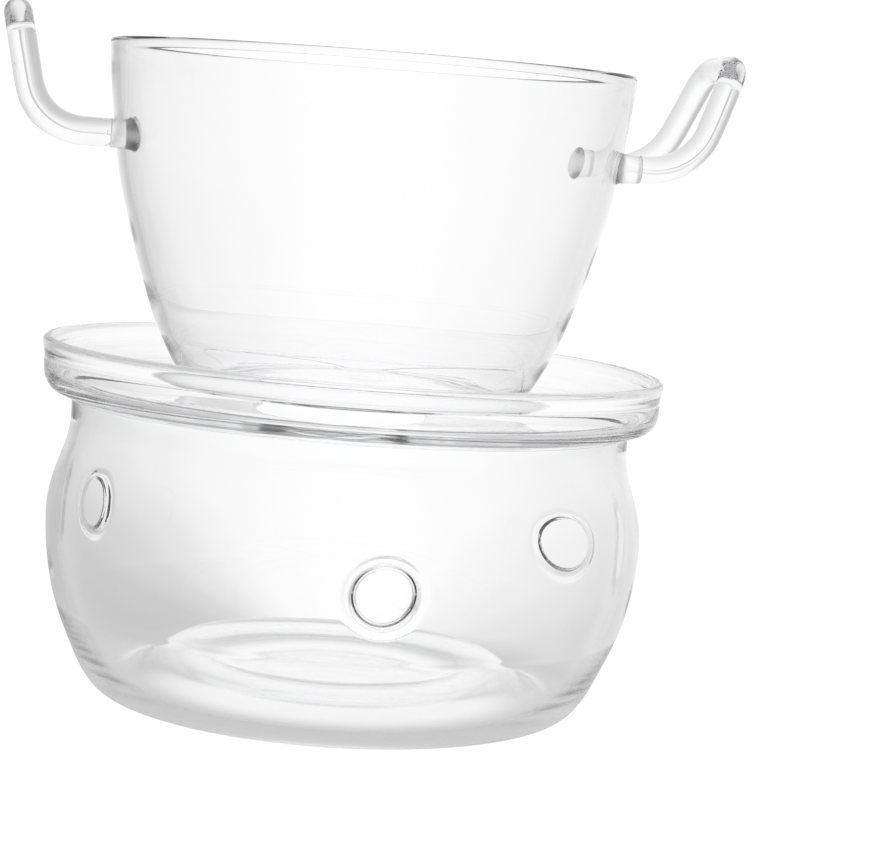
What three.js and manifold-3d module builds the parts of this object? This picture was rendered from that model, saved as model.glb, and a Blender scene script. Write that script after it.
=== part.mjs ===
// Glass chocolate melting pot on a glass tealight warmer.
//
// Two loose glass assemblies stand one on the other:
//   - the pot: a blown bowl with two rod handles fused on through flared feet
//   - the warmer: a blown globe with three vent holes, a pushed-up floor that
//     seats a tealight and a neck with a flange, a five-lobed ledge on it that the
//     pot stands on, and a collar round the pot's foot
//
// Millimetres, +Z up. The origin is on the table under the common axis, and the
// handles lie along X.

import * as THREE from 'three';
import { mergeVertices } from 'three/addons/utils/BufferGeometryUtils.js';
import Module from 'manifold-3d';

const wasm = await Module();
wasm.setup();

// ---------------------------------------------------------------- dimensions
const SEG = 40;              // facets round every turned piece
const GAP = 0.3;             // clearance between pieces that touch

// pot bowl
const POT_Z = 66.3;          // underside of the bowl, standing on the ledge
const POT_FLOOR_Z = 68.7;    // inside floor
const POT_RIM_Z = 140.0;     // top of the fire-polished rim
const POT_RIM_R = 56.55;

// handles
const ROD_R = 2.92;          // glass rod
const FOOT_Y = 17.0;         // half the spacing of one handle's two feet
const FOOT_R = 4.2;          // swelled foot where the rod is fused to the wall
const FOOT_END_X = 55.8;     // outer end of the foot
const BAR_Y = 11.25;         // half-length of the top bar, corner to corner
const BAR_BEND = 5.5;
// the two handles were bent by hand and differ: side along X, height of the feet, corner and
// radius of the lower bend, and the centreline of the top bar
const LEFT = { side: -1, footZ: 119.8, elbowX: 71.3, bend: 11.5, barX: 76.6, barZ: 143.2 };
const RIGHT = { side: 1, footZ: 120.2, elbowX: 67.6, bend: 15.0, barX: 76.6, barZ: 143.3 };

// warmer
const NECK_R = 60.8;
const BELLY_R = 65.0;
const COLLAR_R = 67.5;       // outer radius at the collar's rim bead
const COLLAR_TOP_Z = 75.3;
const BASE_IN_R = 46.0;      // flat standing ring
const BASE_OUT_R = 49.5;
const SEAT_R = 24.0;         // tealight recess in the floor
const SEAT_Z = 5.5;

// vent holes, angles measured from -Y towards +X
// [degrees, half width, half height, height of the centre]; they are drawn by hand and differ
const VENTS = [[0, 5.55, 5.3, 34.1], [114.4, 10.4, 5.75, 31.6], [-121, 5.4, 5.55, 35.4]];

// ledge, fused between the flange on the globe's neck and the collar
const LEDGE_TOP_Z = 66.0;
const LEDGE_T = 1.6;
const LEDGE_R = 66.0;
const LOBES = 5;
const LOBE_OUT_R = 60.8;     // bottom of each lobe of the opening
const CUSP_R = 29.5;         // tip of each tongue that carries the bowl
const CUSP_DEG = 24.5;       // first tongue, from -Y towards +X
const LOBE_POWER = 1.25;
const LOBE_ROUND = 0.15;     // rounding of the tongue tips

const glass = (hex) => new THREE.MeshStandardMaterial({
  color: hex, roughness: 0.04, metalness: 0, transparent: true, opacity: 0.35,
});

// ------------------------------------------------------------------- helpers
// Closed solid from a geometry: shared vertices merged, position only.
function solid(geometry) {
  const g = geometry.clone();
  g.deleteAttribute('normal');
  g.deleteAttribute('uv');
  const m = mergeVertices(g, 1e-4);
  // three.js writes a degenerate triangle at each pole of a turned piece
  const idx = m.index.array;
  const tri = [];
  for (let i = 0; i < idx.length; i += 3) {
    const [a, b, c] = [idx[i], idx[i + 1], idx[i + 2]];
    if (a !== b && b !== c && a !== c) tri.push(a, b, c);
  }
  return new wasm.Manifold(new wasm.Mesh({
    numProp: 3,
    vertProperties: new Float32Array(m.attributes.position.array),
    triVerts: new Uint32Array(tri),
  }));
}

function geometryOf(manifold) {
  const mesh = manifold.getMesh();
  const g = new THREE.BufferGeometry();
  g.setAttribute('position', new THREE.BufferAttribute(new Float32Array(mesh.vertProperties), 3));
  g.setIndex(new THREE.BufferAttribute(new Uint32Array(mesh.triVerts), 1));
  g.computeVertexNormals();
  return g;
}

// Profile of [radius, height] pairs turned about Z; its first facet corner is on -Y.
// The profile runs from the underside outwards, up the outside and back inside.
function turned(profile, segments = SEG) {
  const pts = profile.map(([r, z]) => new THREE.Vector2(r, z));
  const g = new THREE.LatheGeometry(pts, segments);
  g.rotateX(Math.PI / 2);
  return g;
}

const rad = THREE.MathUtils.degToRad;

// Polyline with rounded corners, as a dense list of points.
function rounded(corners, radii, arcSteps = 8) {
  const out = [corners[0].clone()];
  for (let i = 1; i < corners.length - 1; i++) {
    const p = corners[i];
    const a = corners[i - 1].clone().sub(p).normalize();
    const b = corners[i + 1].clone().sub(p).normalize();
    const half = Math.acos(THREE.MathUtils.clamp(a.dot(b), -1, 1)) / 2;
    const r = radii[i];
    const cut = r / Math.tan(half);
    const centre = p.clone().add(a.clone().add(b).normalize().multiplyScalar(r / Math.sin(half)));
    const s = p.clone().addScaledVector(a, cut).sub(centre);
    const e = p.clone().addScaledVector(b, cut).sub(centre);
    const sweep = s.angleTo(e);
    const axis = s.clone().cross(e).normalize();
    for (let k = 0; k <= arcSteps; k++) {
      out.push(s.clone().applyAxisAngle(axis, sweep * k / arcSteps).add(centre));
    }
  }
  out.push(corners[corners.length - 1].clone());
  return out;
}

// ------------------------------------------------------------------ pot bowl
const bowlOuter = [
  [33.0, POT_Z], [36.5, 67.6], [38.2, 70.0], [40.2, 73.2], [42.05, 76.8], [44.0, 80.9],
  [46.35, 87.5], [48.5, 94.0], [50.3, 100.5], [52.05, 107.0], [53.5, 113.5], [55.2, 125.0],
  [56.1, 134.5], [POT_RIM_R, 138.4], [56.2, 139.6],
];
const bowlInner = [
  [55.6, POT_RIM_Z], [54.95, 139.3], [54.4, 134.5], [53.2, 125.0], [51.4, 113.5], [49.9, 107.0],
  [48.1, 100.5], [46.2, 94.0], [44.0, 87.5], [41.7, 81.6], [39.8, 77.6], [37.9, 74.2], [36.0, 71.4],
  [33.4, 69.3], [30.5, POT_FLOOR_Z],
];
const bowl = turned([[0, POT_Z], ...bowlOuter, ...bowlInner, [0, POT_FLOOR_Z]]);

// the same bowl filled to the axis and a clearance larger, to trim what is fused to it
const bowlFilled = solid(turned([
  [0, POT_Z - GAP], ...bowlOuter.map(([r, z]) => [r + GAP, z]), [0, POT_RIM_Z],
]));

// ------------------------------------------------------------------- handles
function handle({ side, footZ, elbowX, bend, barX, barZ }) {
  const v = (x, y, z) => new THREE.Vector3(side * x, y, z);
  const startX = FOOT_END_X + GAP;
  const corners = [
    v(startX, -FOOT_Y, footZ), v(elbowX, -FOOT_Y, footZ), v(barX, -BAR_Y, barZ),
    v(barX, BAR_Y, barZ), v(elbowX, FOOT_Y, footZ), v(startX, FOOT_Y, footZ),
  ];
  const pts = rounded(corners, [0, bend, BAR_BEND, BAR_BEND, bend, 0]);
  const path = new THREE.CurvePath();
  for (let i = 1; i < pts.length; i++) {
    if (pts[i].distanceTo(pts[i - 1]) > 1e-6) path.add(new THREE.LineCurve3(pts[i - 1], pts[i]));
  }
  const section = new THREE.Shape();
  const sides = 10;
  for (let k = 0; k < sides; k++) {
    const t = 2 * Math.PI * k / sides;
    const [x, y] = [ROD_R * Math.cos(t), ROD_R * Math.sin(t)];
    if (k === 0) section.moveTo(x, y); else section.lineTo(x, y);
  }
  section.closePath();
  return new THREE.ExtrudeGeometry(section, { steps: 44, extrudePath: path, bevelEnabled: false });
}

// Swelled foot that the rod's end is fused to, trimmed to the bowl's wall.
function foot({ side, footZ }, y) {
  const g = new THREE.LatheGeometry([
    [0, 46.0], [FOOT_R, 46.0], [FOOT_R, 53.3], [4.0, 54.1], [3.4, 54.9], [3.1, FOOT_END_X], [0, FOOT_END_X],
  ].map(([r, h]) => new THREE.Vector2(r, h)), 14);
  g.rotateZ(-side * Math.PI / 2);
  g.translate(0, y, footZ);
  return geometryOf(solid(g).subtract(bowlFilled));
}

// ------------------------------------------------------------------- warmer
const globe = (() => {
  const body = solid(turned([
    // underside: pushed-up floor and the flat standing ring
    [0, 2.7], [SEAT_R + 1.0, 2.7], [28.0, 4.6], [32.0, 6.7], [37.6, 5.4], [42.8, 1.3],
    [BASE_IN_R, 0], [BASE_OUT_R, 0],
    // outside, up to the neck and its flange
    [52.5, 1.3], [54.4, 3.2], [58.2, 9.9], [61.1, 16.5], [63.2, 23.0], [64.4, 29.5], [BELLY_R, 36.7],
    [64.7, 42.5], [63.5, 47.6], [61.8, 52.7], [NECK_R, 57.6], [60.7, 61.9], [61.4, 62.7],
    [63.0, 63.1], [64.2, 63.6], [64.4, LEDGE_TOP_Z - LEDGE_T - GAP],
    // inside, down to the floor
    [59.2, LEDGE_TOP_Z - LEDGE_T - GAP], [58.7, 62.6], [NECK_R - 2.2, 57.6],
    [59.6, 52.7], [61.3, 47.6], [62.5, 42.5], [62.8, 36.7],
    [62.2, 29.5], [60.9, 23.0], [58.7, 16.5], [55.7, 10.4], [51.8, 4.8], [48.0, 3.0], [44.4, 3.9],
    [38.8, 8.6], [32.0, 9.6], [27.0, 7.4], [SEAT_R, SEAT_Z], [0, SEAT_Z],
  ]));
  let cut = body;
  for (const [deg, halfWidth, halfHeight, z] of VENTS) {
    const g = new THREE.CylinderGeometry(1, 1, 20, 20);   // along Y
    g.scale(halfWidth, 1, halfHeight);
    g.translate(0, -62, 0);
    g.rotateZ(rad(deg));
    g.translate(0, 0, z);
    cut = cut.subtract(solid(g));
  }
  return geometryOf(cut);
})();

const collar = turned([
  [64.4, LEDGE_TOP_Z + GAP], [66.6, LEDGE_TOP_Z + GAP], [66.95, 68.2], [67.0, 71.5], [COLLAR_R, 73.8],
  [67.1, 75.0], [66.2, COLLAR_TOP_Z], [65.2, 74.9], [64.8, 73.8], [65.1, 71.6], [64.9, 68.6],
  [64.4, LEDGE_TOP_Z + GAP],
]);

// Flat plate with a five-lobed opening: hot air rises through the lobes and the
// bowl stands on the five tongues between them.
function lobeRadius(t) {
  const c = Math.abs(Math.sin(LOBES * (t - rad(CUSP_DEG)) / 2));
  const soft = (x) => Math.pow(x * x + LOBE_ROUND * LOBE_ROUND, LOBE_POWER / 2);
  return CUSP_R + (LOBE_OUT_R - CUSP_R) * (soft(c) - soft(0)) / (soft(1) - soft(0));
}
const ledge = (() => {
  const at = (r, t) => new THREE.Vector2(r * Math.sin(t), -r * Math.cos(t));
  const plate = new THREE.Shape();
  plate.setFromPoints(Array.from({ length: SEG }, (_, i) => at(LEDGE_R, 2 * Math.PI * i / SEG)));
  const n = 80;
  const hole = new THREE.Path();
  hole.setFromPoints(Array.from({ length: n }, (_, i) => {
    const t = 2 * Math.PI * i / n;
    return at(lobeRadius(t), t);
  }));
  plate.holes.push(hole);
  const g = new THREE.ExtrudeGeometry(plate, { depth: LEDGE_T, bevelEnabled: false, curveSegments: 1 });
  g.translate(0, 0, LEDGE_TOP_Z - LEDGE_T);
  return g;
})();

// ------------------------------------------------------------------ assembly
function piece(name, geometry, hex) {
  const mesh = new THREE.Mesh(geometryOf(solid(geometry)), glass(hex));
  mesh.name = name;
  return mesh;
}

const pot = new THREE.Group();
pot.add(
  piece('pot_bowl', bowl, 0xeef0f5),
  piece('pot_handle_left', handle(LEFT), 0xeceef4),
  piece('pot_handle_right', handle(RIGHT), 0xeceef4),
  piece('handle_foot_left_front', foot(LEFT, -FOOT_Y), 0xeaecf3),
  piece('handle_foot_left_rear', foot(LEFT, FOOT_Y), 0xeaecf3),
  piece('handle_foot_right_front', foot(RIGHT, -FOOT_Y), 0xeaecf3),
  piece('handle_foot_right_rear', foot(RIGHT, FOOT_Y), 0xeaecf3),
);

const warmer = new THREE.Group();
warmer.add(
  piece('warmer_body', globe, 0xeceef4),
  piece('warmer_collar', collar, 0xeef0f5),
  piece('warmer_ledge', ledge, 0xe9ebf2),
);

const meltingPot = new THREE.Group();
meltingPot.add(warmer, pot);

export default meltingPot;
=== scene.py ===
"""Clear glass melting pot on a glass tealight warmer.

Every piece is blown or bent clear glass. Shapes are given in millimetres and
turned into metres when the meshes are made.
"""

import math

import bpy
import numpy as np
from mathutils import Matrix, Vector


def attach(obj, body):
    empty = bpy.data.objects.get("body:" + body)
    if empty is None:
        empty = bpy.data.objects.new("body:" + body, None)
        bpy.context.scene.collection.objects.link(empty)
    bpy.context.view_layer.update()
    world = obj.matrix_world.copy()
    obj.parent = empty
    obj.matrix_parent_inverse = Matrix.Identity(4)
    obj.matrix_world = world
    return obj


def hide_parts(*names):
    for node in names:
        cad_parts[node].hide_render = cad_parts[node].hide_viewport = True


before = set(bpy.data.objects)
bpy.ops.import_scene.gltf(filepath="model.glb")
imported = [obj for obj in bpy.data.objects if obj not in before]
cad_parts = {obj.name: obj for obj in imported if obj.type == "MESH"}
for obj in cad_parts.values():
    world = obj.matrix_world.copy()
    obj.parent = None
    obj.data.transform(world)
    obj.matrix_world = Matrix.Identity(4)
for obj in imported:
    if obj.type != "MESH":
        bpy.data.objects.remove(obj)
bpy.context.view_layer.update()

MM = 0.001

# ------------------------------------------------------------------ sizes, mm
SEG = 360                    # facets round a turned piece

ROD_R = 2.92
FOOT_Y = 17.0
FOOT_R = 3.5                 # where a foot meets the wall
FOOT_END_X = 56.0
BAR_Y = 11.25
BAR_BEND = 5.5
# the two handles were bent by hand and differ: side, feet height, corner of the lower bend,
# its radius, and the place of the top bar
HANDLES = [(-1, "left", 119.8, 71.3, 11.5, 76.2, 143.2), (1, "right", 120.2, 67.6, 15.0, 77.0, 143.3)]

SEAM_Z = 67.0                # where the collar is fused to the dish on the globe's neck
LEDGE_TOP_Z = 66.0
LEDGE_T = 0.95
LEDGE_R = 63.5
LOBES = 5
LOBE_OUT_R = 60.8
CUSP_R = 29.5
CUSP_DEG = 24.5
LOBE_POWER = 1.25
LOBE_ROUND = 0.15

# angle from -Y towards +X, half width, half height, height of the centre
VENTS = [(0.0, 5.55, 5.3, 34.1), (115.4, 9.3, 5.75, 31.6), (-121.0, 5.4, 5.55, 35.4)]
VENT_EDGE = 0.42             # half thickness of the glass at a hole's edge
VENT_BEAD = 1.34             # and at the ring round it


# -------------------------------------------------------------------- curves
def spline(points):
    """Natural cubic spline through points, by chord length: (knots, evaluator)."""
    p = np.array(points, float)
    t = np.concatenate([[0.0], np.cumsum(np.linalg.norm(np.diff(p, axis=0), axis=1))])
    n = len(t)
    h = np.diff(t)
    a = np.zeros((n, n))
    b = np.zeros((n, p.shape[1]))
    a[0, 0] = a[-1, -1] = 1.0
    for i in range(1, n - 1):
        a[i, i - 1], a[i, i], a[i, i + 1] = h[i - 1], 2 * (h[i - 1] + h[i]), h[i]
        b[i] = 6 * ((p[i + 1] - p[i]) / h[i] - (p[i] - p[i - 1]) / h[i - 1])
    m = np.linalg.solve(a, b)

    def at(s):
        s = np.atleast_1d(np.asarray(s, float))
        k = np.clip(np.searchsorted(t, s, side="right") - 1, 0, n - 2)
        d0, d1 = (t[k + 1] - s)[:, None], (s - t[k])[:, None]
        hk = h[k][:, None]
        return (
            m[k] * d0**3 / (6 * hk)
            + m[k + 1] * d1**3 / (6 * hk)
            + (p[k] / hk - m[k] * hk / 6) * d0
            + (p[k + 1] / hk - m[k + 1] * hk / 6) * d1
        )

    return t, at


def resample(dense, most, bend):
    """Points of a dense polyline, at most `most` apart and closer where it bends (radians a step)."""
    d = np.diff(dense, axis=0)
    length = np.linalg.norm(d, axis=1)
    keep = np.concatenate([[True], length > 1e-9])
    dense = dense[keep]
    d = np.diff(dense, axis=0)
    length = np.linalg.norm(d, axis=1)
    ang = np.unwrap(np.arctan2(d[:, 1], d[:, 0]))
    turn = np.concatenate([[0.0], np.abs(np.diff(ang))])
    cost = np.concatenate([[0.0], np.cumsum(length / most + turn / bend)])
    n = max(int(math.ceil(cost[-1])), 2)
    want = np.linspace(0, cost[-1], n + 1)
    return np.stack([np.interp(want, cost, dense[:, k]) for k in range(2)], 1)


def profile(points, most=1.3, bend=0.14, pole_start=False, pole_end=False):
    """Smooth profile through (radius, height) points. A pole end meets the axis square on."""
    pts = [tuple(q) for q in points]
    head, tail = 0, 0
    if pole_start:
        pts = [(-r, z) for r, z in pts[2:0:-1]] + pts
        head = 2
    if pole_end:
        pts = pts + [(-r, z) for r, z in pts[-2:-4:-1]]
        tail = 2
    t, at = spline(pts)
    lo, hi = t[head], t[len(t) - 1 - tail]
    dense = at(np.arange(lo, hi, 0.04))
    dense = np.concatenate([dense, at([hi])])
    out = resample(dense, most, bend)
    if pole_start:
        out[0, 0] = 0.0
    if pole_end:
        out[-1, 0] = 0.0
    return out


# -------------------------------------------------------------------- pieces
def wander(p, kind):
    """Hand-blown glass is never quite round: a slow drift of the radius, in mm."""
    r = np.hypot(p[:, 0], p[:, 1])
    a = np.arctan2(p[:, 1], p[:, 0])
    z = p[:, 2]
    if kind == "pot":
        up = np.clip((z - 70.0) / 40.0, 0, 1)
        d = up * (0.16 * np.sin(2 * a + 0.6) + 0.09 * np.sin(3 * a + 1.9 + z * 0.03) + 0.05 * np.sin(5 * a - z * 0.06))
    else:
        up = np.clip(z / 25.0, 0, 1) * np.clip((80.0 - z) / 20.0, 0.35, 1)
        d = up * (0.17 * np.sin(2 * a - 0.9) + 0.10 * np.sin(3 * a + 0.4 + z * 0.04) + 0.05 * np.sin(7 * a + z * 0.08))
    d = d * np.clip(r / 30.0, 0, 1)
    q = p.copy()
    keep = r > 1e-6
    q[keep, 0] *= 1 + d[keep] / r[keep]
    q[keep, 1] *= 1 + d[keep] / r[keep]
    if kind == "warmer":
        lift = np.clip((z - 60.0) / 8.0, 0, 1) * np.clip((r - 52.0) / 8.0, 0, 1)
        q[:, 2] += (0.006 * (p[:, 1] + 67.0) - 0.009 * p[:, 0]) * lift     # the collar is a little out of level
    if kind == "pot":
        q[:, 2] += 0.0125 * p[:, 1] * np.clip((z - 95.0) / 45.0, 0, 1)     # the rim is a little out of level
    return q


def make(name, verts, faces, body, node, material, drift=None, sharp=50.0):
    v = np.array(verts, float)
    if drift:
        v = wander(v, drift)
    mesh = bpy.data.meshes.new(name)
    mesh.from_pydata((v * MM).tolist(), [], faces)
    mesh.validate()
    mesh.polygons.foreach_set("use_smooth", [True] * len(mesh.polygons))
    mesh.set_sharp_from_angle(angle=math.radians(sharp))
    mesh.update()
    ob = bpy.data.objects.new(name, mesh)
    bpy.context.scene.collection.objects.link(ob)
    mesh.materials.append(material)
    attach(ob, body)
    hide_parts(node)
    return ob


def turn(prof, seg=SEG, closed=False):
    """Vertices and faces of a profile of (radius, height) turned about Z, facing out when the
    profile runs from the underside outwards, up the outside and back inside."""
    verts, rows = [], []
    ang = 2 * math.pi * np.arange(seg) / seg
    s, c = np.sin(ang), -np.cos(ang)
    for r, z in prof:
        if r < 1e-6:
            rows.append([len(verts)])
            verts.append((0.0, 0.0, z))
        else:
            rows.append(list(range(len(verts), len(verts) + seg)))
            verts.extend(zip(r * s, r * c, [z] * seg))
    faces = []
    pairs = list(zip(rows[:-1], rows[1:]))
    if closed:
        pairs.append((rows[-1], rows[0]))
    for a, b in pairs:
        for j in range(seg):
            k = (j + 1) % seg
            if len(a) == 1 and len(b) == 1:
                continue
            if len(a) == 1:
                faces.append((a[0], b[k], b[j]))
            elif len(b) == 1:
                faces.append((a[j], a[k], b[0]))
            else:
                faces.append((a[j], a[k], b[k], b[j]))
    return verts, faces, rows


# ------------------------------------------------------------------- glass
def glass(name, density, tint, streak, seed, worn=0.0, dull=0.0):
    """Clear glass: slight absorption for the grey edges, and the faint cords, waviness and haze of
    hand-blown ware in the colour, normal and roughness."""
    m = bpy.data.materials.new(name)
    m.use_nodes = True
    nt = m.node_tree
    nt.nodes.clear()
    out = nt.nodes.new("ShaderNodeOutputMaterial")
    p = nt.nodes.new("ShaderNodeBsdfPrincipled")
    p.inputs["Transmission Weight"].default_value = 1.0
    p.inputs["IOR"].default_value = 1.47
    nt.links.new(p.outputs["BSDF"], out.inputs["Surface"])
    vol = nt.nodes.new("ShaderNodeVolumeAbsorption")
    vol.inputs["Color"].default_value = (*tint, 1.0)
    vol.inputs["Density"].default_value = density
    nt.links.new(vol.outputs["Volume"], out.inputs["Volume"])

    tc = nt.nodes.new("ShaderNodeTexCoord")
    mp = nt.nodes.new("ShaderNodeMapping")
    mp.inputs["Location"].default_value = (seed, seed * 0.7, seed * 1.3)
    mp.inputs["Scale"].default_value = streak
    nt.links.new(tc.outputs["Object"], mp.inputs["Vector"])

    cords = nt.nodes.new("ShaderNodeTexNoise")
    cords.inputs["Scale"].default_value = 1.0
    cords.inputs["Detail"].default_value = 2.0
    cords.inputs["Roughness"].default_value = 0.45
    nt.links.new(mp.outputs["Vector"], cords.inputs["Vector"])

    ramp = nt.nodes.new("ShaderNodeValToRGB")
    ramp.color_ramp.elements[0].position = 0.3
    ramp.color_ramp.elements[0].color = (0.982, 0.982, 0.986, 1)
    ramp.color_ramp.elements[1].position = 0.7
    ramp.color_ramp.elements[1].color = (0.992, 0.992, 0.994, 1)
    nt.links.new(cords.outputs["Fac"], ramp.inputs["Fac"])
    nt.links.new(ramp.outputs["Color"], p.inputs["Base Color"])

    haze = nt.nodes.new("ShaderNodeTexNoise")
    haze.inputs["Scale"].default_value = 160.0
    haze.inputs["Detail"].default_value = 3.0
    nt.links.new(tc.outputs["Object"], haze.inputs["Vector"])
    span = nt.nodes.new("ShaderNodeMapRange")
    span.inputs["From Min"].default_value = 0.45
    span.inputs["From Max"].default_value = 0.8
    span.inputs["To Min"].default_value = dull
    span.inputs["To Max"].default_value = dull + 0.012
    nt.links.new(haze.outputs["Fac"], span.inputs["Value"])
    rough = span.outputs["Result"]
    if worn:                 # the foot is dulled by use, less and less up the side
        sep = nt.nodes.new("ShaderNodeSeparateXYZ")
        nt.links.new(tc.outputs["Object"], sep.inputs[0])
        low = nt.nodes.new("ShaderNodeMapRange")
        low.interpolation_type = "SMOOTHSTEP"
        low.inputs["From Min"].default_value = 0.003
        low.inputs["From Max"].default_value = 0.024
        low.inputs["To Min"].default_value = worn
        low.inputs["To Max"].default_value = 0.0
        nt.links.new(sep.outputs["Z"], low.inputs["Value"])
        both = nt.nodes.new("ShaderNodeMath")
        both.operation = "ADD"
        nt.links.new(rough, both.inputs[0])
        nt.links.new(low.outputs["Result"], both.inputs[1])
        rough = both.outputs[0]
    nt.links.new(rough, p.inputs["Roughness"])

    bump = nt.nodes.new("ShaderNodeBump")
    bump.inputs["Strength"].default_value = 0.10
    bump.inputs["Distance"].default_value = 0.0006
    nt.links.new(cords.outputs["Fac"], bump.inputs["Height"])
    nt.links.new(bump.outputs["Normal"], p.inputs["Normal"])
    return m


POT_GLASS = glass("pot_glass", 6.0, (0.60, 0.60, 0.62), (60, 60, 14), 3.1)
ROD_GLASS = glass("rod_glass", 14.0, (0.60, 0.60, 0.62), (90, 90, 60), 7.4)
WARMER_GLASS = glass("warmer_glass", 5.0, (0.60, 0.60, 0.62), (50, 50, 16), 11.9, worn=0.10)
FOOT_GLASS = glass("foot_glass", 6.0, (0.60, 0.60, 0.62), (90, 90, 60), 5.2, dull=0.22)
LEDGE_GLASS = glass("ledge_glass", 4.0, (0.60, 0.60, 0.62), (60, 60, 60), 17.3)

# ---------------------------------------------------------------- pot bowl
BOWL_OUT = [
    (0, 67.3), (12, 67.2), (22, 66.9), (28, 66.4), (31.5, 66.2), (34.6, 66.55), (36.7, 67.8), (38.25, 70.0),
    (40.2, 73.2), (42.05, 76.8), (44.0, 80.9), (46.35, 87.5), (48.5, 94.0), (50.3, 100.5), (52.05, 107.0),
    (53.5, 113.6), (55.2, 125.4), (56.05, 133.5), (56.35, 136.6), (56.55, 138.4), (56.5, 139.3), (56.15, 139.85),
]
BOWL_IN = [
    (55.65, 140.0), (55.15, 139.75), (54.9, 139.0), (54.7, 136.7), (54.3, 133.5), (53.25, 125.4), (51.5, 113.6),
    (50.05, 107.0), (48.25, 100.5), (46.35, 94.0), (44.15, 87.5), (41.85, 81.6), (39.95, 77.6), (38.05, 74.2),
    (36.1, 71.4), (34.2, 69.8), (31.6, 69.0), (28, 68.85), (22, 69.1), (12, 69.5), (0, 69.6),
]
bowl_profile = profile(BOWL_OUT + BOWL_IN, pole_start=True, pole_end=True)
v, f, _ = turn(bowl_profile)
make("pot_bowl_glass", v, f, "pot", "pot_bowl", POT_GLASS, "pot")

t_out, at_out = spline(BOWL_OUT)
dense_out = at_out(np.arange(t_out[4], t_out[-1], 0.05))
order = np.argsort(dense_out[:, 1])


def bowl_r(z):
    return np.interp(z, dense_out[order, 1], dense_out[order, 0])


# ------------------------------------------------------------------ handles
def fillet(corners, radii, steps=24, straight=14):
    c = [np.array(q, float) for q in corners]
    out = []
    last = c[0]
    for i in range(1, len(c) - 1):
        p = c[i]
        a = (c[i - 1] - p) / np.linalg.norm(c[i - 1] - p)
        b = (c[i + 1] - p) / np.linalg.norm(c[i + 1] - p)
        half = math.acos(np.clip(a @ b, -1, 1)) / 2
        r = radii[i]
        cut = r / math.tan(half)
        mid = (a + b) / np.linalg.norm(a + b)
        centre = p + mid * r / math.sin(half)
        s, e = p + a * cut - centre, p + b * cut - centre
        for k in range(straight):
            out.append(last + (centre + s - last) * k / straight)
        sweep = math.acos(np.clip(s @ e / r / r, -1, 1))
        for k in range(steps):
            w = k / steps
            q = (math.sin((1 - w) * sweep) * s + math.sin(w * sweep) * e) / math.sin(sweep)
            out.append(centre + q)
        last = centre + e
    for k in range(straight + 1):
        out.append(last + (c[-1] - last) * k / straight)
    return np.array(out)


def soften(path, rounds):
    """Eases the joins between straights and bends, ends fixed."""
    q = path.copy()
    for _ in range(rounds):
        q[1:-1] = 0.25 * q[:-2] + 0.5 * q[1:-1] + 0.25 * q[2:]
    return q


def rod(path, radius, sides=40):
    """Closed round rod along a path, with its radius at each point."""
    tan = np.gradient(path, axis=0)
    tan /= np.linalg.norm(tan, axis=1)[:, None]
    n = np.array([0.0, 0.0, 1.0])
    verts, faces = [], []
    for i, (q, t) in enumerate(zip(path, tan)):
        n = n - t * (n @ t)
        n /= np.linalg.norm(n)
        b = np.cross(t, n)
        for k in range(sides):
            w = 2 * math.pi * k / sides
            verts.append(q + radius[i] * (math.cos(w) * n + math.sin(w) * b))
    m = len(path)
    for i in range(m - 1):
        for k in range(sides):
            l = (k + 1) % sides
            faces.append((i * sides + k, i * sides + l, (i + 1) * sides + l, (i + 1) * sides + k))
    faces.append(tuple(range(sides - 1, -1, -1)))
    faces.append(tuple((m - 1) * sides + k for k in range(sides)))
    return verts, faces


def flip(faces):
    return [tuple(reversed(f)) for f in faces]


for side, word, foot_z, elbow_x, elbow_bend, bar_x, bar_z in HANDLES:
    start_x = FOOT_END_X - 0.04
    corners = [
        (side * start_x, -FOOT_Y, foot_z), (side * elbow_x, -FOOT_Y, foot_z), (side * bar_x, -BAR_Y, bar_z),
        (side * bar_x, BAR_Y, bar_z), (side * elbow_x, FOOT_Y, foot_z), (side * start_x, FOOT_Y, foot_z),
    ]
    path = soften(fillet(corners, [0, elbow_bend, BAR_BEND, BAR_BEND, elbow_bend, 0]), 6)
    along = np.concatenate([[0], np.cumsum(np.linalg.norm(np.diff(path, axis=0), axis=1))])
    ripple = 1 + 0.012 * np.sin(along * 0.21 + side) + 0.008 * np.sin(along * 0.53 + 2 * side)
    v, f = rod(path, ROD_R * ripple / ripple[0] * np.ones(len(path)))
    make(f"pot_handle_{word}_glass", v, f, "pot", f"pot_handle_{word}", ROD_GLASS)


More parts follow.
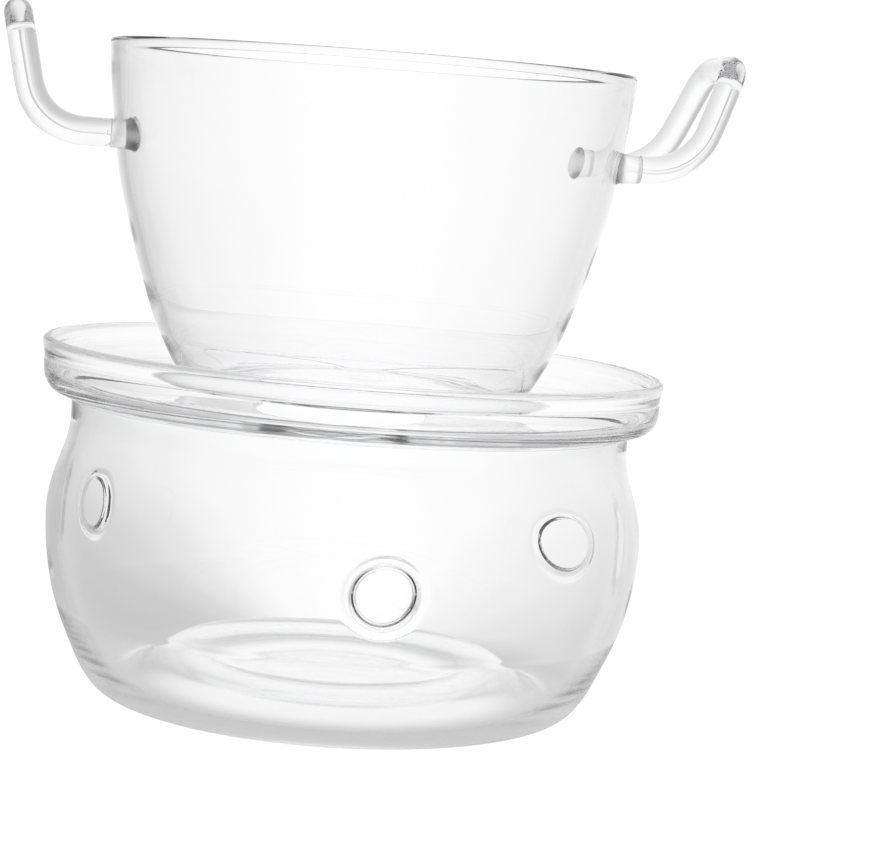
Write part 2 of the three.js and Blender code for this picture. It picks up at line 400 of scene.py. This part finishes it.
# --------------------------------------------------------- fused handle feet
def foot(side, y, foot_z):
    """Flare between the end of a rod and the wall of the bowl, whose shape its inner face follows."""
    sides, rings = 56, 22
    sunk = 0.25              # fused a little way into the wall
    verts, faces = [], []

    def wall(yy, zz):
        return math.sqrt(bowl_r(zz) ** 2 - yy * yy) - sunk

    end = FOOT_END_X
    reach = FOOT_R

    def ring(rho, lift):
        row = []
        for k in range(sides):
            w = 2 * math.pi * k / sides
            yy, zz = y + rho * math.cos(w), foot_z + rho * math.sin(w)
            base = wall(yy, zz)
            x = base + lift * (end - base)
            row.append(len(verts))
            verts.append((side * x, yy, zz))
        return row

    rows = []
    for i in range(rings + 1):
        w = i / rings
        # concave flare that ends in a rounded, wetted edge on the wall
        rho = ROD_R + (reach - ROD_R) * (1 - math.sqrt(max(1 - w * w, 0))) ** 0.85
        lift = 1 - w
        rows.append(ring(rho, lift if i < rings else 0.0))
    under = [ring(reach * q, 0.0) for q in (0.8, 0.6, 0.4, 0.2)]
    rows += under
    for a, b in zip(rows[:-1], rows[1:]):
        for k in range(sides):
            l = (k + 1) % sides
            faces.append((a[k], a[l], b[l], b[k]))
    c = len(verts)
    verts.append((side * wall(y, foot_z), y, foot_z))
    for k in range(sides):
        faces.append((rows[-1][k], rows[-1][(k + 1) % sides], c))
    c = len(verts)
    verts.append((side * end, y, foot_z))
    for k in range(sides):
        faces.append((rows[0][(k + 1) % sides], rows[0][k], c))
    return verts, faces if side < 0 else flip(faces)


for side, word, foot_z, *_ in HANDLES:
    for y, place in ((-FOOT_Y, "front"), (FOOT_Y, "rear")):
        v, f = foot(side, y, foot_z)
        make(f"handle_foot_{word}_{place}_glass", v, f, "pot", f"handle_foot_{word}_{place}", FOOT_GLASS, "pot")

# ------------------------------------------------------------- warmer globe
GLOBE_UNDER = [
    (0, 2.8), (8, 2.8), (16, 2.8), (21, 2.8), (24.5, 3.0), (27.5, 4.1), (30, 5.5), (32.4, 6.5), (35, 6.5), (38, 5.2),
    (41, 2.6), (43.6, 0.75), (46, 0.06), (47.8, 0.0), (49.6, 0.1), (52, 1.0), (54.4, 3.2),
]
GLOBE_OUT = [
    (56.5, 6.4), (58.2, 9.9), (61.1, 16.5), (63.2, 23.0), (64.4, 29.5), (65.0, 36.7), (64.7, 42.5), (63.5, 47.6),
    (61.8, 52.7), (60.95, 56.3),
]
NECK_OUT = [
    (60.72, 58.4), (60.66, 60.4), (60.72, 62.2), (60.95, 63.0), (61.6, 63.45), (62.8, 63.75), (64.2, 64.15), (65.4, 64.8),
    (66.25, 65.8), (66.75, 67.0),
]
COLLAR = [
    (66.95, 68.2), (67.0, 70.0), (67.0, 71.4), (67.2, 72.7), (67.45, 73.7), (67.35, 74.6), (66.85, 75.15), (66.1, 75.3),
    (65.45, 75.05), (65.05, 74.4), (65.0, 73.5), (65.2, 72.4), (65.4, 71.0), (65.4, 69.6), (65.3, 68.4),
]
NECK_IN = [
    (65.0, 67.4), (64.4, 66.65), (63.5, 66.15), (62.5, 65.9), (61.4, 65.65), (60.4, 65.25), (59.5, 64.5), (58.95, 63.4),
    (58.68, 61.8), (58.6, 60.0), (58.6, 58.4),
]
GLOBE_IN = [
    (58.75, 56.6), (59.6, 52.7), (61.3, 47.6), (62.5, 42.5), (62.8, 36.7), (62.2, 29.5), (60.9, 23.0), (58.7, 16.5),
    (55.7, 10.4), (53.9, 7.4),
]
GLOBE_FLOOR = [
    (51.6, 4.8), (48.6, 3.0), (46.4, 2.6), (44.2, 3.5), (41.7, 5.8), (39.0, 8.2), (36.3, 9.5), (33.6, 9.8), (31, 9.3),
    (28.6, 8.1), (26.2, 6.7), (24.0, 5.85), (21, 5.5), (16, 5.5), (8, 5.5), (0, 5.5),
]
t_o, at_o = spline(GLOBE_UNDER + GLOBE_OUT + NECK_OUT + COLLAR[:2])
dense_o = at_o(np.arange(0, t_o[-1], 0.04))
t_i, at_i = spline(COLLAR[-2:] + NECK_IN + GLOBE_IN + GLOBE_FLOOR)
dense_i = at_i(np.arange(0, t_i[-1], 0.04))


def column(dense, lo, hi):
    part = dense[(dense[:, 1] > lo) & (dense[:, 1] < hi) & (dense[:, 0] > 50)]
    return part[np.argsort(part[:, 1])]


col_o, col_i = column(dense_o, 8, 68.0), column(dense_i, 10, 68.0)


def globe_out(z):
    return np.interp(z, col_o[:, 1], col_o[:, 0])


def globe_in(z):
    return np.interp(z, col_i[:, 1], col_i[:, 0])


zs = np.linspace(20.0, 46.4, 34)     # rows of the patches round the vents

under = profile(GLOBE_UNDER + GLOBE_OUT[:4], most=0.7, bend=0.06, pole_start=True)
under = under[(under[:, 1] < zs[0] - 0.4) | (under[:, 0] < 50)]


def above(col):
    """The wall from the top row of the patches to the seam."""
    ends = [[np.interp(z, col[:, 1], col[:, 0]), z] for z in (zs[-1], SEAM_Z + 0.01)]
    part = col[(col[:, 1] > zs[-1] + 0.01) & (col[:, 1] < SEAM_Z)]
    return resample(np.concatenate([ends[:1], part, ends[1:]]), 0.6, 0.06)[1:]


upper_o, upper_i = above(col_o), above(col_i)
floor_part = profile(GLOBE_IN[-5:] + GLOBE_FLOOR, most=0.7, bend=0.06, pole_end=True)
floor_part = floor_part[(floor_part[:, 1] < zs[0] - 0.4) | (floor_part[:, 0] < 50)]
prof, tag = [], []
prof += [tuple(q) for q in under]
tag += ["u"] * len(under)
prof += [(float(globe_out(z)), z) for z in zs]
tag += ["o"] * len(zs)
prof += [tuple(q) for q in upper_o]
tag += ["n"] * len(upper_o)
prof += [tuple(q) for q in upper_i[::-1]]
tag += ["n"] * len(upper_i)
prof += [(float(globe_in(z)), z) for z in zs[::-1]]
tag += ["i"] * len(zs)
prof += [tuple(q) for q in floor_part]
tag += ["f"] * len(floor_part)

v, f, rows = turn(prof)
v = [tuple(q) for q in v]
o_rows = [i for i, t in enumerate(tag) if t == "o"]
i_rows = [i for i, t in enumerate(tag) if t == "i"][::-1]     # upwards too
HALF = 15                    # half width of the patch, in facets

owner = {}
for face_rows in (o_rows, i_rows):
    for i in face_rows:
        for j, k in enumerate(rows[i]):
            owner[k] = (i, j)
o_set, i_set = set(o_rows), set(i_rows)
centres = [int(round(q[0] / 360 * SEG)) % SEG for q in VENTS]


def inside_block(face):
    if len(face) != 4 or any(k not in owner for k in face):
        return False
    ii = {owner[k][0] for k in face}
    if not (ii <= o_set or ii <= i_set):
        return False
    for c in centres:
        if all((owner[k][1] - c + SEG // 2) % SEG - SEG // 2 in range(-HALF, HALF + 1) for k in face):
            return True
    return False


f = [q for q in f if not inside_block(q)]


def loop(face_rows, c):
    """Corner loop of the patch, anticlockwise seen from outside: (vertex, facet offset, height)."""
    got = []
    lo, hi = face_rows[0], face_rows[-1]
    for d in range(-HALF, HALF):
        got.append((rows[lo][(c + d) % SEG], d, prof[lo][1]))
    for i in face_rows[:-1]:
        got.append((rows[i][(c + HALF) % SEG], HALF, prof[i][1]))
    for d in range(HALF, -HALF, -1):
        got.append((rows[hi][(c + d) % SEG], d, prof[hi][1]))
    for i in face_rows[:0:-1]:
        got.append((rows[i][(c - HALF) % SEG], -HALF, prof[i][1]))
    return got


step = 2 * math.pi / SEG
MID_R = 63.4


def surface_point(phi, z, off, which):
    """Point on the outer (+1), inner (-1) or middle (0) face, moved by off along the wall's normal."""
    ro, ri = float(globe_out(z)), float(globe_in(z))
    r = {1: ro, -1: ri, 0: (ro + ri) / 2}[which]
    e = 0.5
    slope = (float(globe_out(z + e)) - float(globe_out(z - e))) / (2 * e)
    n = math.hypot(1, slope)
    r, z = r + off / n, z - off * slope / n
    return (r * math.sin(phi), -r * math.cos(phi), z)


for c, (deg, half_w, half_h, vent_z) in zip(centres, VENTS):
    phi0 = math.radians(deg)
    outer, inner = loop(o_rows, c), loop(i_rows, c)
    count = len(outer)
    base = [((c * step - phi0 + d * step + math.pi) % (2 * math.pi) - math.pi) * MID_R for _, d, _ in outer]
    local = [(s, z - vent_z) for s, (_, _, z) in zip(base, outer)]
    # direction of each spoke, eased so that the spokes are even round the hole
    turn_at = np.unwrap([math.atan2(b, a) for a, b in local])
    even = turn_at[0] + 2 * math.pi * np.arange(count) / count
    turn_at = 0.5 * turn_at + 0.5 * even

    def hole(w):
        wob = 1 + 0.018 * math.sin(2 * w + deg) + 0.012 * math.sin(3 * w + 0.4 * deg)
        x = half_w * wob * math.cos(w)
        if abs(deg) > 90:      # the rear holes are blunter on the side towards the rear
            c = abs(phi0 + 0.14)
            seen = math.sin(c) - math.copysign(x, x * deg) * abs(math.cos(c)) / MID_R
            x = math.copysign(1, deg) * (math.pi - math.asin(min(seen, 0.999)) - c) * MID_R
        return x, half_h * wob * math.sin(w)

    thick = (float(globe_out(vent_z)) - float(globe_in(vent_z))) / 2
    rings = 22

    def ease(w):
        w = min(max(w, 0.0), 1.0)
        return w * w * (3 - 2 * w)

    def grow(p, d):
        n = math.hypot(*p)
        return p[0] * (n + d) / n, p[1] * (n + d) / n

    made = {}
    for which, start in ((1, outer), (-1, inner)):
        rowsv = [[k for k, _, _ in start]]
        for i in range(1, rings + 1):
            w = 1 - (1 - i / rings) ** 1.9
            row = []
            for q in range(count):
                a = local[q]
                edge = hole(turn_at[q])
                b = grow(edge, VENT_EDGE)
                x, y = a[0] + (b[0] - a[0]) * w, a[1] + (b[1] - a[1]) * w
                far = math.hypot(x, y) - math.hypot(*b)
                half = VENT_EDGE + (VENT_BEAD - VENT_EDGE) * ease(far / 1.2) - (VENT_BEAD - thick) * ease((far - 1.1) / 1.9)
                swell = half - thick
                row.append(len(v))
                v.append(surface_point(phi0 + x / MID_R, vent_z + y, which * swell, which))
            rowsv.append(row)
        made[which] = rowsv
    lip = [made[1][-1]]
    turns = 18
    for k in range(1, turns):
        th = math.pi / 2 + math.pi * k / turns
        row = []
        for q in range(count):
            edge = hole(turn_at[q])
            x, y = grow(edge, VENT_EDGE * (1 + math.cos(th)))
            row.append(len(v))
            v.append(surface_point(phi0 + x / MID_R, vent_z + y, VENT_EDGE * math.sin(th), 0))
        lip.append(row)
    lip.append(made[-1][-1])
    for chain, out in ((made[1], True), (made[-1], False), (lip, True)):
        for a, b in zip(chain[:-1], chain[1:]):
            for q in range(count):
                n = (q + 1) % count
                quad = (a[q], a[n], b[n], b[q])
                f.append(quad if out else tuple(reversed(quad)))

globe_piece = make("warmer_body_glass", v, f, "warmer", "warmer_body", WARMER_GLASS, "warmer")

# drop the vertices that the patches left without a face
import bmesh
bm = bmesh.new()
bm.from_mesh(globe_piece.data)
bmesh.ops.delete(bm, geom=[q for q in bm.verts if not q.link_faces], context="VERTS")
bmesh.ops.recalc_face_normals(bm, faces=bm.faces)
bm.to_mesh(globe_piece.data)
bm.free()

# ----------------------------------------------------------------- collar
tn, atn = spline(GLOBE_OUT[-3:] + NECK_OUT + COLLAR + NECK_IN + GLOBE_IN[:3])
dense = atn(np.arange(tn[2], tn[-3], 0.02))
first = int(np.argmax(dense[:, 1] > SEAM_Z))
last = len(dense) - 1 - int(np.argmax(dense[::-1, 1] > SEAM_Z))
collar_profile = resample(dense[first:last + 1], 0.8, 0.10)
collar_profile[0] = (float(globe_out(SEAM_Z)), SEAM_Z)
collar_profile[-1] = (float(globe_in(SEAM_Z)), SEAM_Z)
v, f, _ = turn(collar_profile, closed=True)
make("warmer_collar_glass", v, f, "warmer", "warmer_collar", WARMER_GLASS, "warmer")


# ------------------------------------------------------------------- ledge
def lobe(t):
    c = np.abs(np.sin(LOBES * (t - math.radians(CUSP_DEG)) / 2))
    soft = lambda x: (x * x + LOBE_ROUND**2) ** (LOBE_POWER / 2)
    return CUSP_R + (LOBE_OUT_R - CUSP_R) * (soft(c) - soft(0.0)) / (soft(1.0) - soft(0.0))


n_edge = 480
ang = 2 * math.pi * np.arange(n_edge) / n_edge
rl = lobe(ang)
edge = np.stack([rl * np.sin(ang), -rl * np.cos(ang)], 1)
tangent = np.roll(edge, -1, 0) - np.roll(edge, 1, 0)
tangent /= np.linalg.norm(tangent, axis=1)[:, None]
into = np.stack([tangent[:, 1], -tangent[:, 0]], 1)          # away from the axis, into the glass
into *= np.sign((into * edge).sum(1))[:, None]
half_t = LEDGE_T / 2
mid_z = LEDGE_TOP_Z - half_t
rim_r = LEDGE_R - half_t
round_out = np.stack([np.sin(ang), -np.cos(ang)], 1)
rim = rim_r * round_out
rings = []
# underside from the rim inwards, half-round fire-polished edge, top outwards
inner_line = edge + into * half_t
for w in (1.0, 0.72, 0.48, 0.28, 0.12):
    rings.append(np.concatenate([inner_line + (rim - inner_line) * w, np.full((n_edge, 1), mid_z - half_t)], 1))
for k in range(0, 17):
    th = math.pi * k / 16
    rings.append(np.concatenate([
        inner_line - into * half_t * math.sin(th), np.full((n_edge, 1), mid_z - half_t * math.cos(th))], 1))
for w in (0.12, 0.28, 0.48, 0.72, 1.0):
    rings.append(np.concatenate([inner_line + (rim - inner_line) * w, np.full((n_edge, 1), mid_z + half_t)], 1))
for k in range(1, 12):
    th = math.pi * k / 12
    rings.append(np.concatenate([
        rim + round_out * half_t * math.sin(th), np.full((n_edge, 1), mid_z + half_t * math.cos(th))], 1))
v = np.concatenate(rings)
f = []
m = len(rings)
for i in range(m):
    a, b = i * n_edge, ((i + 1) % m) * n_edge
    for j in range(n_edge):
        k = (j + 1) % n_edge
        f.append((a + k, a + j, b + j, b + k))
make("warmer_ledge_glass", v, f, "warmer", "warmer_ledge", LEDGE_GLASS, "warmer")

# ------------------------------------------------------------------- stage
AZ = math.radians(-8.0)
right0 = Vector((math.cos(AZ), math.sin(AZ), 0))
ahead0 = Vector((-math.sin(AZ), math.cos(AZ), 0))
# brightness of the studio and of its floor round the object: degrees from straight behind it,
# towards the right
ROUND = [
    (-180, 1.03), (-155, 1.02), (-125, 0.82), (-95, 0.64), (-60, 0.56), (-40, 0.52), (-28, 0.55), (-21, 0.66), (-16, 0.81),
    (-12, 0.93), (-9, 1.0), (0, 1.03), (9, 1.02), (14, 0.97), (20, 0.90), (28, 0.82), (60, 0.72), (95, 0.72), (125, 0.86),
    (155, 1.02), (180, 1.03),
]
FLOOR_ROUND = [
    (-180, 1.02), (-155, 1.0), (-125, 0.78), (-95, 0.62), (-45, 0.56), (-30, 0.60), (-22, 0.69), (-16, 0.82), (-12, 0.93),
    (-9, 0.99), (0, 1.03), (9, 1.02), (14, 0.97), (20, 0.91), (30, 0.84), (45, 0.77), (70, 0.73), (95, 0.73), (125, 0.86),
    (155, 1.0), (180, 1.02),
]


def round_about(nt, vector, stops):
    """Brightness by the bearing of a vector, as a colour."""
    bearing = nt.nodes.new("ShaderNodeMath")
    bearing.operation = "ARCTAN2"
    for axis, socket in ((right0, 0), (ahead0, 1)):
        dot = nt.nodes.new("ShaderNodeVectorMath")
        dot.operation = "DOT_PRODUCT"
        dot.inputs[1].default_value = axis
        nt.links.new(vector, dot.inputs[0])
        nt.links.new(dot.outputs["Value"], bearing.inputs[socket])
    span = nt.nodes.new("ShaderNodeMapRange")
    span.inputs["From Min"].default_value = -math.pi
    span.inputs["From Max"].default_value = math.pi
    nt.links.new(bearing.outputs[0], span.inputs["Value"])
    ramp = nt.nodes.new("ShaderNodeValToRGB")
    ramp.color_ramp.interpolation = "EASE"
    els = ramp.color_ramp.elements
    els[0].position, els[1].position = 0.0, 1.0
    els[0].color = els[1].color = (stops[0][1], stops[0][1], stops[0][1], 1)
    for deg, val in stops[1:-1]:
        e = els.new(deg / 360 + 0.5)
        e.color = (val, val, val, 1)
    nt.links.new(span.outputs["Result"], ramp.inputs["Fac"])
    return ramp.outputs["Color"]


def blend(nt, factor, lo, hi, first, second):
    """first where factor is below lo, second above hi, soft between."""
    span = nt.nodes.new("ShaderNodeMapRange")
    span.interpolation_type = "SMOOTHSTEP"
    span.inputs["From Min"].default_value = lo
    span.inputs["From Max"].default_value = hi
    nt.links.new(factor, span.inputs["Value"])
    mix = nt.nodes.new("ShaderNodeMix")
    mix.data_type = "RGBA"
    nt.links.new(span.outputs["Result"], mix.inputs["Factor"])
    for value, name in ((first, "A_Color"), (second, "B_Color")):
        socket = next(q for q in mix.inputs if q.identifier == name)
        if isinstance(value, float):
            socket.default_value = (value, value, value, 1)
        else:
            nt.links.new(value, socket)
    return next(q for q in mix.outputs if q.identifier == "Result_Color")


def plane(name, size, z):
    mesh = bpy.data.meshes.new(name)
    mesh.from_pydata([(-size, -size, z), (size, -size, z), (size, size, z), (-size, size, z)], [], [(0, 1, 2, 3)])
    ob = bpy.data.objects.new(name, mesh)
    bpy.context.scene.collection.objects.link(ob)
    m = bpy.data.materials.new(name)
    m.use_nodes = True
    m.node_tree.nodes.clear()
    mesh.materials.append(m)
    return ob, m.node_tree


# pale floor that the camera sees
floor, nt = plane("floor", 6.0, -0.0006)
out = nt.nodes.new("ShaderNodeOutputMaterial")
add = nt.nodes.new("ShaderNodeAddShader")
dif = nt.nodes.new("ShaderNodeBsdfDiffuse")
dif.inputs["Color"].default_value = (0.14, 0.14, 0.14, 1)
emi = nt.nodes.new("ShaderNodeEmission")
emi.inputs["Strength"].default_value = 0.93
nt.links.new(dif.outputs[0], add.inputs[0])
nt.links.new(emi.outputs[0], add.inputs[1])
nt.links.new(add.outputs[0], out.inputs["Surface"])
floor.visible_transmission = floor.visible_glossy = floor.visible_diffuse = floor.visible_shadow = False

# glowing sheet, hidden from the camera, standing for the floor as the glass sees it: painted light with the studio's
# soft fall-off to the sides
sheet, nt = plane("floor_light", 6.0, -0.0003)
out = nt.nodes.new("ShaderNodeOutputMaterial")
emi = nt.nodes.new("ShaderNodeEmission")
tc = nt.nodes.new("ShaderNodeTexCoord")
far = nt.nodes.new("ShaderNodeVectorMath")
far.operation = "LENGTH"
nt.links.new(tc.outputs["Object"], far.inputs[0])
# painted contact shadow: a dark ring (0.60) round the warmer's standing ring, fading out into the fall-off further away
colour = blend(nt, far.outputs["Value"], 0.050, 0.075, 0.60, round_about(nt, tc.outputs["Object"], FLOOR_ROUND))
# painted pool of light: bright (0.98) under the middle of the warmer, where the glass would focus light onto the floor
colour = blend(nt, far.outputs["Value"], 0.032, 0.050, 0.98, colour)
nt.links.new(colour, emi.inputs["Color"])
nt.links.new(emi.outputs[0], out.inputs["Surface"])
sheet.visible_camera = sheet.visible_shadow = False

# white backdrop that the camera sees
dome_mesh = bpy.data.meshes.new("backdrop")
bm = bmesh.new()
bmesh.ops.create_uvsphere(bm, u_segments=48, v_segments=24, radius=9.0)
bm.to_mesh(dome_mesh)
bm.free()
dome = bpy.data.objects.new("backdrop", dome_mesh)
bpy.context.scene.collection.objects.link(dome)
m = bpy.data.materials.new("backdrop")
m.use_nodes = True
nt = m.node_tree
nt.nodes.clear()
out = nt.nodes.new("ShaderNodeOutputMaterial")
emi = nt.nodes.new("ShaderNodeEmission")
emi.inputs["Strength"].default_value = 1.05
nt.links.new(emi.outputs[0], out.inputs["Surface"])
dome_mesh.materials.append(m)
dome.visible_transmission = dome.visible_glossy = dome.visible_diffuse = dome.visible_shadow = False

world = bpy.data.worlds.new("studio")
bpy.context.scene.world = world
world.use_nodes = True
nt = world.node_tree
nt.nodes.clear()
out = nt.nodes.new("ShaderNodeOutputWorld")
bg = nt.nodes.new("ShaderNodeBackground")
tc = nt.nodes.new("ShaderNodeTexCoord")
sep = nt.nodes.new("ShaderNodeSeparateXYZ")
nt.links.new(tc.outputs["Generated"], sep.inputs[0])
colour = blend(nt, sep.outputs["Z"], 0.55, 0.9, round_about(nt, tc.outputs["Generated"], ROUND), 1.02)
nt.links.new(colour, bg.inputs["Color"])
nt.links.new(bg.outputs[0], out.inputs["Surface"])

# ------------------------------------------------------------------ camera
DIST, HEIGHT = 0.533, 0.119
YAW, PITCH, ROLL, LENS = math.radians(2.02), math.radians(-6.26), math.radians(4.197), 101.01
up0 = Vector((0, 0, 1))
ahead = (right0 * math.sin(YAW) + ahead0 * math.cos(YAW)) * math.cos(PITCH) + up0 * math.sin(PITCH)
right = right0 * math.cos(YAW) - ahead0 * math.sin(YAW)
up = right.cross(ahead)
r2 = right * math.cos(ROLL) + up * math.sin(ROLL)
u2 = -right * math.sin(ROLL) + up * math.cos(ROLL)
cam_data = bpy.data.cameras.new("camera")
cam_data.lens = LENS
cam_data.sensor_width = 36.0
cam_data.clip_start = 0.01
cam = bpy.data.objects.new("camera", cam_data)
bpy.context.scene.collection.objects.link(cam)
rot = Matrix((r2, u2, -ahead)).transposed().to_4x4()
cam.matrix_world = Matrix.Translation(-ahead0 * DIST + up0 * HEIGHT) @ rot
bpy.context.scene.camera = cam

scene = bpy.context.scene
scene.view_settings.view_transform = "Standard"
scene.view_settings.look = "None"
scene.view_settings.exposure = 0.0
scene.cycles.max_bounces = 48
scene.cycles.transmission_bounces = 48
scene.cycles.glossy_bounces = 32
scene.cycles.transparent_max_bounces = 16
scene.cycles.caustics_refractive = True
scene.cycles.caustics_reflective = True
